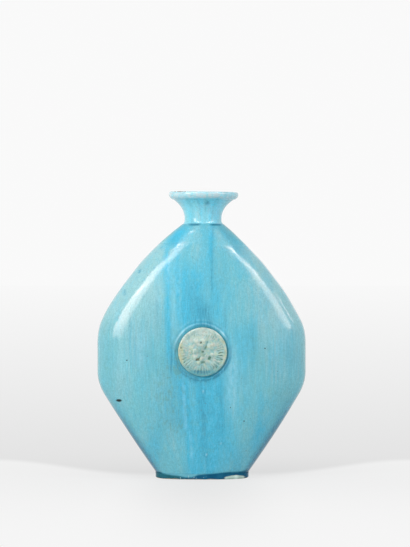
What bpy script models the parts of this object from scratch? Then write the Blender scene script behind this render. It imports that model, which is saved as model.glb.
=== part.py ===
"""Flattened octagonal vase of glazed earthenware, built as the potter luted it together.

Two pressed shells meet in an upright seam. A thrown neck stands in the opening on top, an oval
foot ring and a slab close the bottom, a coil lies along the inside of each side seam, and a
moulded medallion is set in a round recess on each broad face.

The model stands on the XY plane with its foot centred on the origin. +Z is up, the broad faces
look along -Y and +Y, and all sizes are in metres.
"""

import math

import bmesh
import bpy
from mathutils import Matrix, Vector

# Body: the eight-sided outline, seen from the front
BODY_WIDTH = 0.1816            # across the upright sides
BODY_DEPTH = 0.0700            # over the broad faces, without the medallions
LOWER_SLOPE_HEIGHT = 0.0777    # foot joint up to the lower corners
SIDE_HEIGHT = 0.0455           # lower corners up to the upper corners
UPPER_SLOPE_HEIGHT = 0.0925    # upper corners up to the neck seat
LOWER_BULGE = 0.00125          # how far a lower slope swells past a straight line
UPPER_BULGE = 0.0090           # how far an upper slope swells past a straight line
LOWER_CORNER_BLEND = 0.0060    # softness of the lower corners
UPPER_CORNER_BLEND = 0.0040    # softness of the upper corners
SHOULDER_POWER = 0.75          # how late the faces roll in to the neck, less is later
BODY_FULLNESS = 2.6            # exponent of the level sections, 2 is an ellipse
NECK_FULLNESS = 2.0            # exponent where the body meets the round neck
WALL = 0.0055                  # thickness of the pressed shells

# Foot and bottom
FOOT_WIDTH = 0.0806
FOOT_DEPTH = 0.0490
FOOT_HEIGHT = 0.0045
FOOT_RING_WIDTH = 0.0100       # the flat that the vase stands on, outer to inner edge
FOOT_EDGE_RADIUS = 0.0009
SLAB_THICKNESS = 0.0050
SLAB_EDGE_RADIUS = 0.0008

# Neck
SEAT_DIAMETER = 0.0346         # flat on the body that the collar stands on
COLLAR_LEDGE = 0.0007          # how far the collar's base lies inside that flat
COLLAR_BASE_HEIGHT = 0.0020    # small bead round the joint
NECK_HEIGHT = 0.0292           # seat to the top of the lip
WAIST_DIAMETER = 0.0314        # narrowest place
WAIST_RISE = 0.0042            # height of the waist over the seat
LIP_DIAMETER = 0.0610
LIP_THICKNESS = 0.0050
FLARE_POWER = 2.2              # how late the neck opens into the lip
BORE_DIAMETER = 0.0226
SPIGOT_DEPTH = 0.0050          # part of the collar below the seat, inside the opening
SPIGOT_WALL = 0.0034

# Medallions
MEDALLION_RISE = 0.0275        # height of their centre over the lower corners
MEDALLION_DIAMETER = 0.0434
MEDALLION_THICKNESS = 0.0026
RECESS_DEPTH = 0.0018
MOAT_WIDTH = 0.0020            # glaze-filled groove between medallion and recess
BEZEL_RADIUS = 0.0014          # rounded rim raised round the recess
BORDER_WIDTH = 0.0020          # plain rim of the medallion
BORDER_HEIGHT = 0.0008
FLUTE_COUNT = 44
FLUTE_LENGTH = 0.0080          # from the border in towards the blossom
FLUTE_HEIGHT = 0.0006
PETAL_COUNT = 5
PETAL_RING_RADIUS = 0.0077     # medallion's centre to a petal's centre
PETAL_RADIUS = 0.0042
PETAL_HEIGHT = 0.0010
PETAL_TURN = math.radians(98)  # direction of the first petal, counted from the right
HEART_RADIUS = 0.0020

# Inside and joints
COIL_DIAMETER = 0.0060         # clay coil along each side seam
COIL_END_GAP = 0.0040          # from a coil's ends to the slab and to the spigot's level
SLIP_GAP = 0.0003              # thickness of the slip line between luted pieces

# Fineness of the meshes
QUARTER_STEPS = 10
LOWER_RINGS = 10
UPPER_RINGS = 14
OVAL_STEPS = 40
NECK_STEPS = 36
FLARE_STEPS = 7

# Heights and radii that follow from these
shell_bottom = FOOT_HEIGHT + SLIP_GAP
lower_corner = shell_bottom + LOWER_SLOPE_HEIGHT
upper_corner = lower_corner + SIDE_HEIGHT
seat_height = upper_corner + UPPER_SLOPE_HEIGHT
medallion_height = lower_corner + MEDALLION_RISE
seat_radius = SEAT_DIAMETER / 2
bore_radius = BORE_DIAMETER / 2
spigot_radius = bore_radius + SPIGOT_WALL
opening_radius = spigot_radius + SLIP_GAP
medallion_radius = MEDALLION_DIAMETER / 2
recess_radius = medallion_radius + MOAT_WIDTH
recess_floor = BODY_DEPTH / 2 - RECESS_DEPTH
slab_inset = WALL + SLIP_GAP


def start_scene():
    """Empty the scene and return the collections for the vase and for its cutters."""
    for obj in list(bpy.data.objects):
        bpy.data.objects.remove(obj, do_unlink=True)
    vase = bpy.data.collections.new("octagonal_vase")
    cutters = bpy.data.collections.new("cutters")
    bpy.context.scene.collection.children.link(vase)
    bpy.context.scene.collection.children.link(cutters)
    return vase, cutters


def material(name, colour, roughness):
    """A plain non-metal surface."""
    mat = bpy.data.materials.new(name)
    mat.use_nodes = True
    shader = mat.node_tree.nodes["Principled BSDF"]
    shader.inputs["Base Color"].default_value = (*colour, 1.0)
    shader.inputs["Roughness"].default_value = roughness
    shader.inputs["Metallic"].default_value = 0.0
    return mat


def place(obj, collection):
    """Move an object into one collection only."""
    for old in list(obj.users_collection):
        old.objects.unlink(obj)
    collection.objects.link(obj)
    return obj


def as_cutter(obj, collection):
    """Mark an object as a cutter or guide, which isn't part of the vase."""
    place(obj, collection)
    obj.hide_render = True
    obj.display_type = "WIRE"
    return obj


def mesh_object(name, mesh, mat, collection):
    """A new object for a mesh, smooth shaded with its real edges kept sharp."""
    obj = bpy.data.objects.new(name, mesh)
    mesh.materials.clear()
    mesh.materials.append(mat)
    mesh.shade_smooth()
    mesh.set_sharp_from_angle(angle=math.radians(40))
    collection.objects.link(obj)
    return obj


def evaluated_mesh(obj):
    """The mesh of a curve or a modified object, welded, with the object itself removed."""
    depsgraph = bpy.context.evaluated_depsgraph_get()
    mesh = bpy.data.meshes.new_from_object(obj.evaluated_get(depsgraph))
    mesh.transform(obj.matrix_world)
    bm = bmesh.new()
    bm.from_mesh(mesh)
    bmesh.ops.remove_doubles(bm, verts=bm.verts, dist=0.00001)
    bm.to_mesh(mesh)
    bm.free()
    bpy.data.objects.remove(obj, do_unlink=True)
    return mesh


def cut(obj, tool, operation="DIFFERENCE"):
    """Add an exact Boolean to an object."""
    boolean = obj.modifiers.new(tool.name, "BOOLEAN")
    boolean.operation = operation
    boolean.solver = "EXACT"
    boolean.object = tool


def soft_min(a, b, blend):
    """The smaller of two values, rounded where they lie within the blend of each other."""
    closeness = max(blend - abs(a - b), 0.0) / blend
    return min(a, b) - closeness * closeness * blend / 4


def swollen_line(start, end, share, bulge):
    """A straight line from start to end that a parabola of this height is laid on."""
    return start + (end - start) * share + 4 * bulge * share * (1 - share)


def half_width(z):
    """Half the body's width at a height: two swollen slopes and an upright side."""
    side = BODY_WIDTH / 2
    lower = swollen_line(FOOT_WIDTH / 2, side, (z - shell_bottom) / LOWER_SLOPE_HEIGHT, LOWER_BULGE)
    upper = swollen_line(seat_radius, side, (seat_height - z) / UPPER_SLOPE_HEIGHT, UPPER_BULGE)
    return soft_min(soft_min(upper, side, UPPER_CORNER_BLEND), lower, LOWER_CORNER_BLEND)


def half_depth(z):
    """Half the body's depth at a height: fullest at the medallions, rolling in to foot and neck."""
    full = BODY_DEPTH / 2
    if z < medallion_height:
        share = (medallion_height - z) / (medallion_height - shell_bottom)
        return FOOT_DEPTH / 2 + (full - FOOT_DEPTH / 2) * (1 - share * share)
    share = min((z - medallion_height) / (seat_height - medallion_height), 1.0)
    return seat_radius + (full - seat_radius) * (1 - share * share) ** SHOULDER_POWER


def fullness(z):
    """Exponent of the level section at a height: full in the body, round at the neck."""
    share = max(z - medallion_height, 0.0) / (seat_height - medallion_height)
    return BODY_FULLNESS + (NECK_FULLNESS - BODY_FULLNESS) * min(share, 1.0) ** 2


def oval_point(width, depth, exponent, angle):
    """A point of a superellipse, counted by an angle from the +Y axis towards +X."""
    power = 2 / exponent
    x = math.copysign(abs(math.sin(angle)) ** power, math.sin(angle))
    y = math.copysign(abs(math.cos(angle)) ** power, math.cos(angle))
    return width * x, depth * y


def ring_heights():
    """Heights of the body's sections: even below the medallions, then closer towards the neck."""
    lower = medallion_height - shell_bottom
    upper = seat_height - medallion_height
    heights = [shell_bottom + lower * i / LOWER_RINGS for i in range(LOWER_RINGS)]
    return heights + [medallion_height + upper * math.sin(math.pi / 2 * i / UPPER_RINGS)
                      for i in range(UPPER_RINGS + 1)]


def outer_sections():
    """Section ovals of the outside, as half width, half depth, exponent and height."""
    return [(half_width(z), half_depth(z), fullness(z), z) for z in ring_heights()]


def inner_size(size, z):
    """A half width or half depth of the hollow: one wall inside the outer one, square to it."""
    step = 0.0005
    slope = (size(z + step) - size(z - step)) / (2 * step)
    return size(z) - WALL * math.hypot(1, slope)


def inner_sections():
    """Section ovals of the hollow, from one wall over the foot joint to one below the seat."""
    low = shell_bottom + WALL
    high = seat_height - WALL
    margin = WALL / 4
    heights = [z for z in ring_heights() if low + margin < z < high - margin]
    return [(inner_size(half_width, z), inner_size(half_depth, z), fullness(z), z)
            for z in [low] + heights + [high]]


def lofted(name, sections, mat, collection):
    """A closed body lofted through level ovals, made as one quarter and mirrored twice."""
    bm = bmesh.new()
    loops = []
    for width, depth, exponent, z in sections:
        loop = []
        for i in range(QUARTER_STEPS + 1):
            x, y = oval_point(width, depth, exponent, math.pi / 2 * i / QUARTER_STEPS)
            x = 0.0 if i == 0 else x
            y = 0.0 if i == QUARTER_STEPS else y
            loop.append(bm.verts.new((x, y, z)))
        loops.append(loop)
    for low, high in zip(loops, loops[1:]):
        for i in range(QUARTER_STEPS):
            bm.faces.new((low[i + 1], low[i], high[i], high[i + 1]))
    bottom = bm.verts.new((0, 0, sections[0][3]))
    top = bm.verts.new((0, 0, sections[-1][3]))
    bm.faces.new([bottom] + loops[0])
    bm.faces.new([top] + loops[-1][::-1])
    mesh = bpy.data.meshes.new(name)
    bm.to_mesh(mesh)
    bm.free()
    obj = mesh_object(name, mesh, mat, collection)
    mirror = obj.modifiers.new("four_quarters", "MIRROR")
    mirror.use_axis = (True, True, False)
    mirror.merge_threshold = 0.00001
    return obj


def facing(side):
    """Turn that brings a shape made on the XY plane, facing +Z, to face along Y on this side."""
    tilt = Matrix.Rotation(math.radians(90), 4, "X")
    about = Matrix.Rotation(math.pi if side > 0 else 0.0, 4, "Z")
    return about @ tilt


def bezel_guide(name, side, cutters):
    """Rounded rim round the recess: a torus half sunk in the broad face."""
    bpy.ops.mesh.primitive_torus_add(
        major_radius=recess_radius + BEZEL_RADIUS, minor_radius=BEZEL_RADIUS,
        major_segments=60, minor_segments=8)
    ring = as_cutter(bpy.context.object, cutters)
    ring.name = name
    centre = Vector((0, side * (BODY_DEPTH / 2 - BEZEL_RADIUS / 3), medallion_height))
    ring.matrix_world = Matrix.Translation(centre) @ facing(side)
    return ring


def recess_cutter(name, side, cutters):
    """Round flat-bottomed recess that the medallion lies in."""
    depth = RECESS_DEPTH + 4 * BEZEL_RADIUS
    bpy.ops.mesh.primitive_cylinder_add(vertices=60, radius=recess_radius, depth=depth)
    drum = as_cutter(bpy.context.object, cutters)
    drum.name = name
    centre = Vector((0, side * (recess_floor + depth / 2), medallion_height))
    drum.matrix_world = Matrix.Translation(centre) @ facing(side)
    return drum


def opening_cutter(cutters):
    """Round opening in the top of the body for the collar's spigot."""
    depth = 4 * WALL
    bpy.ops.mesh.primitive_cylinder_add(vertices=NECK_STEPS, radius=opening_radius, depth=depth,
                                        location=(0, 0, seat_height))
    drum = as_cutter(bpy.context.object, cutters)
    drum.name = "neck_opening"
    return drum


def half_cutter(name, side, cutters):
    """Box that takes away everything beyond the seam plane of the shell on this side."""
    reach = BODY_DEPTH
    size = (2 * BODY_WIDTH, reach, 2 * (seat_height + WALL))
    bpy.ops.mesh.primitive_cube_add(size=1)
    box = as_cutter(bpy.context.object, cutters)
    box.name = name
    box.data.transform(Matrix.Diagonal((*size, 1)))
    box.location = (0, side * (SLIP_GAP / 2 - reach / 2), seat_height / 2)
    return box


def oval_solid(name, outlines, bottom, top):
    """Mesh of an upright prism over superellipse outlines, the later ones holes in the first."""
    curve = bpy.data.curves.new(name, "CURVE")
    curve.dimensions = "2D"
    curve.fill_mode = "BOTH"
    curve.extrude = (top - bottom) / 2
    for width, depth in outlines:
        spline = curve.splines.new("POLY")
        spline.points.add(OVAL_STEPS - 1)
        spline.use_cyclic_u = True
        for i, point in enumerate(spline.points):
            x, y = oval_point(width, depth, BODY_FULLNESS, 2 * math.pi * i / OVAL_STEPS)
            point.co = (x, y, 0, 1)
    obj = bpy.data.objects.new(name, curve)
    bpy.context.scene.collection.objects.link(obj)
    obj.location.z = (top + bottom) / 2
    bpy.context.view_layer.update()
    return evaluated_mesh(obj)


def round_edges(obj, radius):
    """Bevel the sharp edges of a prism."""
    bevel = obj.modifiers.new("rounded_edges", "BEVEL")
    bevel.width = radius
    bevel.segments = 2
    bevel.limit_method = "ANGLE"
    bevel.angle_limit = math.radians(50)


def slab_cutter(mat, cutters):
    """Prism that opens the body's underside for the slab, one slip line wider all round."""
    reach = slab_inset - SLIP_GAP
    outline = (FOOT_WIDTH / 2 - reach, FOOT_DEPTH / 2 - reach)
    mesh = oval_solid("slab_opening", [outline], 0.0, shell_bottom + 2 * WALL)
    return as_cutter(mesh_object("slab_opening", mesh, mat, cutters), cutters)


def shell(name, side, tools, mat, vase, cutters):
    """One pressed half of the body, with its bezel, recess, neck opening and slab opening."""
    obj = lofted(name, outer_sections(), mat, vase)
    cut(obj, bezel_guide(name + "_bezel", side, cutters), "UNION")
    cut(obj, recess_cutter(name + "_recess", side, cutters))
    for tool in tools:
        cut(obj, tool)
    cut(obj, half_cutter(name + "_other_half", side, cutters))
    return obj


def turned(name, profile, steps):
    """Mesh of a closed or axis-to-axis profile, as radius and height, turned about Z."""
    mesh = bpy.data.meshes.new(name)
    closed = profile[0][0] > 0
    count = len(profile)
    edges = [(i, (i + 1) % count) for i in range(count if closed else count - 1)]
    mesh.from_pydata([(radius, 0, height) for radius, height in profile], edges, [])
    obj = bpy.data.objects.new(name, mesh)
    bpy.context.scene.collection.objects.link(obj)
    screw = obj.modifiers.new("turned", "SCREW")
    screw.axis = "Z"
    screw.steps = steps
    screw.render_steps = steps
    screw.use_merge_vertices = True
    screw.merge_threshold = 0.00001
    bpy.context.view_layer.update()
    return evaluated_mesh(obj)


def collar_profile():
    """Radius and height round the neck's wall: down outside from the lip, and up the bore."""
    seat = seat_height + SLIP_GAP
    top = seat + NECK_HEIGHT
    waist = seat + WAIST_RISE
    lip_middle = top - LIP_THICKNESS / 2
    lip_centre = (LIP_DIAMETER - LIP_THICKNESS) / 2
    under_lip = top - LIP_THICKNESS
    points = []
    for i in range(7):
        angle = math.pi / 2 - math.pi * i / 6
        points.append((lip_centre + LIP_THICKNESS / 2 * math.cos(angle),
                       lip_middle + LIP_THICKNESS / 2 * math.sin(angle)))
    for i in range(FLARE_STEPS - 1, -1, -1):
        share = i / FLARE_STEPS
        points.append((WAIST_DIAMETER / 2 + (lip_centre - WAIST_DIAMETER / 2) * share ** FLARE_POWER,
                       waist + (under_lip - waist) * share))
    base = seat_radius - COLLAR_LEDGE
    points.append((base - COLLAR_BASE_HEIGHT / 4, seat + COLLAR_BASE_HEIGHT))
    points.append((base, seat + COLLAR_BASE_HEIGHT * 0.6))
    points.append((base, seat))
    points.append((spigot_radius, seat))
    points.append((spigot_radius, seat - SPIGOT_DEPTH))
    points.append((bore_radius, seat - SPIGOT_DEPTH))
    mouth = lip_centre - LIP_THICKNESS / 2
    for i in range(FLARE_STEPS + 1):
        share = i / FLARE_STEPS
        points.append((bore_radius + (mouth - bore_radius) * share ** FLARE_POWER,
                       waist + (lip_middle + LIP_THICKNESS / 4 - waist) * share))
    return points


def neck_collar(mat, vase):
    """Thrown neck with its flared lip, base bead and spigot."""
    return mesh_object("neck_collar", turned("neck_collar", collar_profile(), NECK_STEPS), mat, vase)


def foot_ring(mat, vase):
    """Low oval ring under the body, wide enough to carry the shells and the slab."""
    inner = (FOOT_WIDTH / 2 - FOOT_RING_WIDTH, FOOT_DEPTH / 2 - FOOT_RING_WIDTH)
    mesh = oval_solid("foot_ring", [(FOOT_WIDTH / 2, FOOT_DEPTH / 2), inner], 0.0, FOOT_HEIGHT)
    obj = mesh_object("foot_ring", mesh, mat, vase)
    round_edges(obj, FOOT_EDGE_RADIUS)
    return obj


def base_slab(mat, vase):
    """Slab that lies on the foot ring, inside the shells' lower edge, and closes the bottom."""
    outline = (FOOT_WIDTH / 2 - slab_inset, FOOT_DEPTH / 2 - slab_inset)
    mesh = oval_solid("base_slab", [outline], shell_bottom, shell_bottom + SLAB_THICKNESS)
    obj = mesh_object("base_slab", mesh, mat, vase)
    round_edges(obj, SLAB_EDGE_RADIUS)
    return obj


def bump(distance, radius):
    """A round dome: 1 at the centre, 0 from this radius outwards."""
    return max(1 - (distance / radius) ** 2, 0.0) ** 0.5


def medallion_relief(radius, angle):
    """Height of the medallion's ornament: flutes, then petals round a heart."""
    field = medallion_radius - BORDER_WIDTH
    height = 0.0
    if field - FLUTE_LENGTH < radius < field - 0.0001:
        height = FLUTE_HEIGHT * (0.5 + 0.5 * math.cos(FLUTE_COUNT * angle))
    for i in range(PETAL_COUNT):
        turn = PETAL_TURN + 2 * math.pi * i / PETAL_COUNT
        away = math.hypot(radius * math.cos(angle) - PETAL_RING_RADIUS * math.cos(turn),
                          radius * math.sin(angle) - PETAL_RING_RADIUS * math.sin(turn))
        height = max(height, PETAL_HEIGHT * bump(away, PETAL_RADIUS))
    return max(height, PETAL_HEIGHT * bump(radius, HEART_RADIUS))


def medallion(name, side, mat, vase):
    """Moulded roundel lying in its recess: a rimmed disc with flutes and a blossom on it."""
    field = medallion_radius - BORDER_WIDTH
    top = MEDALLION_THICKNESS
    rings = 9
    profile = [(0.0, top)]
    profile += [(field * i / rings, top) for i in range(1, rings + 1)]
    profile += [(field + BORDER_WIDTH * 0.2, top + BORDER_HEIGHT),
                (field + BORDER_WIDTH * 0.7, top + BORDER_HEIGHT),
                (medallion_radius, top),
                (medallion_radius, 0.0),
                (0.0, 0.0)]
    mesh = turned(name, profile, 2 * FLUTE_COUNT)
    for vert in mesh.vertices:
        if vert.co.z > top - 0.00001:
            radius = math.hypot(vert.co.x, vert.co.y)
            if radius < field + 0.00001:
                vert.co.z += medallion_relief(radius, math.atan2(vert.co.y, vert.co.x))
    obj = mesh_object(name, mesh, mat, vase)
    centre = Vector((0, side * (recess_floor + SLIP_GAP), medallion_height))
    obj.matrix_world = Matrix.Translation(centre) @ facing(side)
    return obj


def inside_point(z, inset):
    """Point in the seam plane at this distance inwards, square to the outline, from height z."""
    step = 0.0005
    slope = (half_width(z + step) - half_width(z - step)) / (2 * step)
    outward = Vector((1, 0, -slope)).normalized()
    return Vector((half_width(z), 0, z)) - inset * outward


def seam_coil(name, side, mat, vase):
    """Clay coil along the inside of one side seam, from over the slab to below the spigot."""
    inset = WALL + SLIP_GAP + COIL_DIAMETER / 2
    low = shell_bottom + SLAB_THICKNESS + COIL_DIAMETER / 2 + COIL_END_GAP
    high = seat_height - SPIGOT_DEPTH - COIL_END_GAP
    points = [inside_point(z, inset) for z in ring_heights()]
    points = [point for point in points if low < point.z < high and point.x > spigot_radius]
    curve = bpy.data.curves.new(name, "CURVE")
    curve.dimensions = "3D"
    curve.bevel_depth = COIL_DIAMETER / 2
    curve.bevel_resolution = 1
    curve.use_fill_caps = True
    spline = curve.splines.new("POLY")
    spline.points.add(len(points) - 1)
    for spot, point in zip(spline.points, points):
        spot.co = (side * point.x, point.y, point.z, 1)
    obj = bpy.data.objects.new(name, curve)
    bpy.context.scene.collection.objects.link(obj)
    bpy.context.view_layer.update()
    return mesh_object(name, evaluated_mesh(obj), mat, vase)


def build():
    """Make the vase from its foot to its lip."""
    vase, cutters = start_scene()
    glaze = material("turquoise_glaze", (0.18, 0.53, 0.63), 0.12)
    pale_glaze = material("pale_medallion_glaze", (0.45, 0.58, 0.47), 0.30)
    clay = material("bare_clay", (0.62, 0.52, 0.40), 0.85)
    foot_ring(glaze, vase)
    base_slab(clay, vase)
    hollow = as_cutter(lofted("hollow", inner_sections(), clay, cutters), cutters)
    openings = [hollow, opening_cutter(cutters), slab_cutter(clay, cutters)]
    for name, side in (("front", -1), ("back", 1)):
        shell(name + "_shell", side, openings, glaze, vase, cutters)
        medallion(name + "_medallion", side, pale_glaze, vase)
    seam_coil("left_seam_coil", -1, clay, vase)
    seam_coil("right_seam_coil", 1, clay, vase)
    neck_collar(glaze, vase)


build()
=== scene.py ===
import math

import bpy
import numpy as np
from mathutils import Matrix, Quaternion, Vector


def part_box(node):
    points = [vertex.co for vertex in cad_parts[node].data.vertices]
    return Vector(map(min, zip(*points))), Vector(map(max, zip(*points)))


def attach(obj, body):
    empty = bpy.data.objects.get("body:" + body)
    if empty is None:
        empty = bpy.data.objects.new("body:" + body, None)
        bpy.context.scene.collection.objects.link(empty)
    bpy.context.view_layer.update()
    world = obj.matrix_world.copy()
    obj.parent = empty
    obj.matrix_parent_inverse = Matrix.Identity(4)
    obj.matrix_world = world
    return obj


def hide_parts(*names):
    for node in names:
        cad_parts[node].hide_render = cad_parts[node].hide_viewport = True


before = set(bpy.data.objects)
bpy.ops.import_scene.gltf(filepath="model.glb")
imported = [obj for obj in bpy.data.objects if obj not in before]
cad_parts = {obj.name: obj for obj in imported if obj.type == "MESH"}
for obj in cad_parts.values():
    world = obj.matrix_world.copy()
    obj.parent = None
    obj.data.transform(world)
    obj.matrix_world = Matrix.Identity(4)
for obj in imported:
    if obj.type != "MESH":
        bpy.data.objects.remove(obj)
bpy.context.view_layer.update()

# The two pressed shells
#
# Front and back half of the flattened body, pressed in a mould of buff earthenware and luted edge
# to edge. The whole outside carries a turquoise glaze that ran down in azure streaks, lies thick
# and dark in the grooves, and is finely crazed.

MM = 0.001                             # meshes are worked out in millimetres, materials in metres
shell_low, shell_high = (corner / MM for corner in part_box("front_shell"))
side_x = shell_high.x                  # half the width across the upright sides
foot_joint = shell_low.z
neck_seat = shell_high.z
lower_corner = foot_joint + 77.7
upper_corner = neck_seat - 92.5
crest_z = lower_corner + 27.5          # height where the body is deepest
face_y = 35                            # half the depth over the broad faces
foot_x = 40.3
foot_y = 24.5
seat_radius = 17.6
opening_radius = 15
wall = 5.5
lower_bulge = 1.25
upper_bulge = 9
lower_blend = 6
upper_blend = 4
body_fullness = 2.6
neck_fullness = 2
shoulder_power = 0.75
roundel_x = 0.9                        # the roundel sits a little to the right and high in its seat
roundel_z = crest_z + 0.35
roundel_radius = 20.9
bezel_radius = 23.8                    # crest of the soft ring of clay round the roundel


def soft_min(a, b, blend):
    """The smaller of two arrays, rounded where they lie within the blend of each other."""
    closeness = np.maximum(blend - np.abs(a - b), 0) / blend
    return np.minimum(a, b) - closeness ** 2 * blend / 4


def swollen_line(start, end, share, bulge):
    """A straight line from start to end with a parabola of this height laid on it."""
    return start + (end - start) * share + 4 * bulge * share * (1 - share)


def half_depth(z):
    """Half the depth at a height: a parabola below the crest, a power of a circle above it."""
    down = np.clip((crest_z - z) / (crest_z - foot_joint), 0, 1)
    up = np.clip((z - crest_z) / (neck_seat - crest_z), 0, 1)
    below = foot_y + (face_y - foot_y) * (1 - down ** 2)
    above = seat_radius + (face_y - seat_radius) * (1 - up ** 2) ** shoulder_power
    return np.where(z < crest_z, below, above)


def fullness(z):
    """Exponent of the level superellipse at a height: full in the body, a circle at the neck."""
    up = np.clip((z - crest_z) / (neck_seat - crest_z), 0, 1)
    return body_fullness + (neck_fullness - body_fullness) * up ** 2


def bell(x, width=1):
    """A bell curve of height 1: e to the power of minus (x / width) squared."""
    return np.exp(-(x / width) ** 2)


def ramp(x, low, high):
    """0 below low, 1 above high, and a smooth S between them."""
    t = np.clip((x - low) / (high - low), 0, 1)
    return t * t * (3 - 2 * t)


def fall(x, low, high):
    """1 below low, 0 above high, and a smooth S between them."""
    return 1 - ramp(x, low, high)


def half_width(z):
    """Half the width at a height: the lowest of two swollen slopes and the upright side."""
    lower = swollen_line(foot_x, side_x, (z - foot_joint) / (lower_corner - foot_joint), lower_bulge)
    upper = swollen_line(seat_radius, side_x, (neck_seat - z) / (neck_seat - upper_corner), upper_bulge)
    upper = upper + 0.85 * ramp(z, 174, 190) * (1 - 0.6 * ramp(z, 214, 222))
    return soft_min(soft_min(upper, side_x, upper_blend), lower, lower_blend)


def wander(u, v, seed, waves=7):
    """A smooth random field between about -1 and 1: a mean of sine waves in random directions."""
    rng = np.random.default_rng(seed)
    total = np.zeros(np.broadcast(u, v).shape)
    for _ in range(waves):
        turn, rate, phase = rng.uniform(0, 2 * math.pi), rng.uniform(0.5, 1.6), rng.uniform(0, 9)
        total += np.sin(rate * (u * math.cos(turn) + v * math.sin(turn)) + phase)
    return total / math.sqrt(waves) / 1.3


def put(name, data):
    """A new object in the scene that holds this mesh, lamp or camera."""
    obj = bpy.data.objects.new(name, data)
    bpy.context.scene.collection.objects.link(obj)
    return obj


def build_mesh(name, points, groups, fields=(), smooth_below=40):
    """A mesh object from an (n, 3) array of points and arrays of corner numbers, one row a face."""
    mesh = bpy.data.meshes.new(name)
    faces = [face for group in groups for face in group.tolist()]
    mesh.from_pydata((points * MM).tolist(), [], faces)
    for key, values in dict(fields).items():
        layer = mesh.attributes.new(key, "FLOAT", "POINT")
        layer.data.foreach_set("value", np.asarray(values, np.float32).ravel())
    mesh.shade_smooth()
    mesh.set_sharp_from_angle(angle=math.radians(smooth_below))
    return put(name, mesh)


def grid_faces(index, flip=False, around=False, over=False):
    """Quads of a grid of point numbers: around closes each row to a ring, over the last row to the
    first.
    """
    if around:
        index = np.column_stack([index, index[:, 0]])
    if over:
        index = np.vstack([index, index[:1]])
    quads = np.stack([index[:-1, :-1], index[:-1, 1:], index[1:, 1:], index[1:, :-1]], -1)
    quads = quads.reshape(-1, 4)
    return quads[:, ::-1] if flip else quads


def rim_faces(outer, inner, step, flip=False):
    """Faces from a fine edge to a coarse one that has a point for each step of the fine one."""
    spans = np.arange(len(inner) - 1)
    fine = np.stack([outer[spans * step + k] for k in range(step + 1)], -1)
    faces = np.column_stack([fine, inner[spans + 1], inner[spans]])
    return faces[:, ::-1] if flip else faces


def lean(z):
    """Sideways drift of the fired body at a height: a little to the right at the foot and neck."""
    neck = 1.35 * ramp(z, 196, 226) + 0.6 * ramp(z, 224, 252)
    return 0.5 * fall(z, 40, 80) - 0.5 * bell(z - 146, 12) + neck


# Marks that the glaze left as it ran down the front: place across the face at the top and at the
# bottom, half width, lowest and highest point, all in millimetres, and strength
FRONT_AZURE = (
    (-29.3, -28.8, 1.7, 104, 198, 0.85), (-21.5, -20, 1.4, 140, 208, 0.35), (-11, -12, 8, 128, 184, 0.75),
    (13.5, 15.5, 3, 130, 168, 0.34), (-18, -26, 5, 201, 218, 0.75), (7.5, 8.2, 1.6, 186, 220, 0.55),
    (-16, -8, 2.2, 8, 86, 1), (-13, -10, 1.2, 20, 80, 0.45), (4, 5, 10, 4, 94, 0.85),
    (14, 17, 3, 36, 92, 0.35), (34, 33, 7, 84, 132, 0.3), (68, 67, 5, 88, 122, 0.35),
    (-40, -40, 3.5, 8, 40, 0.4), (38, 34, 5, 46, 84, 0.32), (61, 61, 4, 88, 116, 0.2),
    (27, 30, 6, 8, 40, 0.36), (52, 44, 4, 22, 48, 0.6), (52, 47, 3.5, 36, 78, 0.3))
FRONT_TEAL = (
    (-9, -8, 6, 132, 170, 0.14), (8.6, 8.9, 0.9, 158, 222, 0.38), (2, 4.5, 6, 126, 152, 0.55),
    (15, 37, 5.5, 189, 221, 0.36), (-22, -26, 5, 198, 212, 0.25), (4, 4.2, 0.7, 3, 32, 0.3),
    (-25.5, -26, 0.7, 92, 116, 0.7), (-56.5, -56.5, 0.5, 96, 120, 0.6), (-61, -61, 0.5, 112, 140, 0.4),
    (20.5, 21, 1.2, 118, 150, 0.35), (-38, -37.5, 1, 126, 180, 0.3), (44, 44, 0.8, 96, 140, 0.3),
    (0.5, 1.5, 2.6, 22, 82, 0.34), (16.6, 16.6, 2.2, 34, 86, 0.26), (-53.7, -53.7, 0.7, 178, 181, 1),
    (-66.5, -66.5, 0.7, 159, 163, 0.9), (-34.5, -34.5, 0.5, 199, 201, 0.8))
FRONT_GREY = (
    (-47, -46, 15, 112, 168, 0.4), (-33, -43, 7, 158, 206, 0.35), (-40, -39, 4, 124, 144, 0.3),
    (-72, -66, 8, 66, 98, 0.45), (-12, -13, 4, 122, 146, 0.3), (-36, -34, 10, 22, 92, 0.25),
    (50, 55, 14, 128, 176, 0.4), (-6, -7, 7, 196, 218, 0.55), (14, 16, 4, 196, 218, 0.2),
    (66, 66, 8, 84, 108, 0.35), (-2, -2, 2.5, 160, 214, 0.25))
# The thick marks darken broad patches, mostly low on the face: thicker glaze and painted shade
FRONT_THICK = (
    (-27, -23, 10, 40, 104, 0.58), (-25, -25, 7, 98, 136, 0.2), (12, 12, 14, 6, 92, 0.06),
    (48, 50, 10, 90, 134, 0.16), (-84, -80, 5, 80, 140, 0.3), (-52, -40, 7, 8, 56, 0.2))
# The last pale mark lightens the right face by the upper corner: painted light.
FRONT_PALE = (
    (-28.8, -28.8, 1.2, 168, 190, 0.18), (-36, -37, 3.2, 148, 176, 0.15),
    (-24.3, -23.5, 2.2, 130, 186, 0.1), (-18.8, -18.4, 1.1, 146, 186, 0.1), (26.2, 26, 3.2, 60, 112, 0.2),
    (-15.8, -13.6, 1, 40, 84, 0.15), (-9.8, -8, 1, 12, 40, 0.14), (-52, -53, 3, 98, 126, 0.15),
    (-71, -71, 4, 84, 112, 0.06), (70, 72, 10, 112, 136, 0.11))
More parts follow.
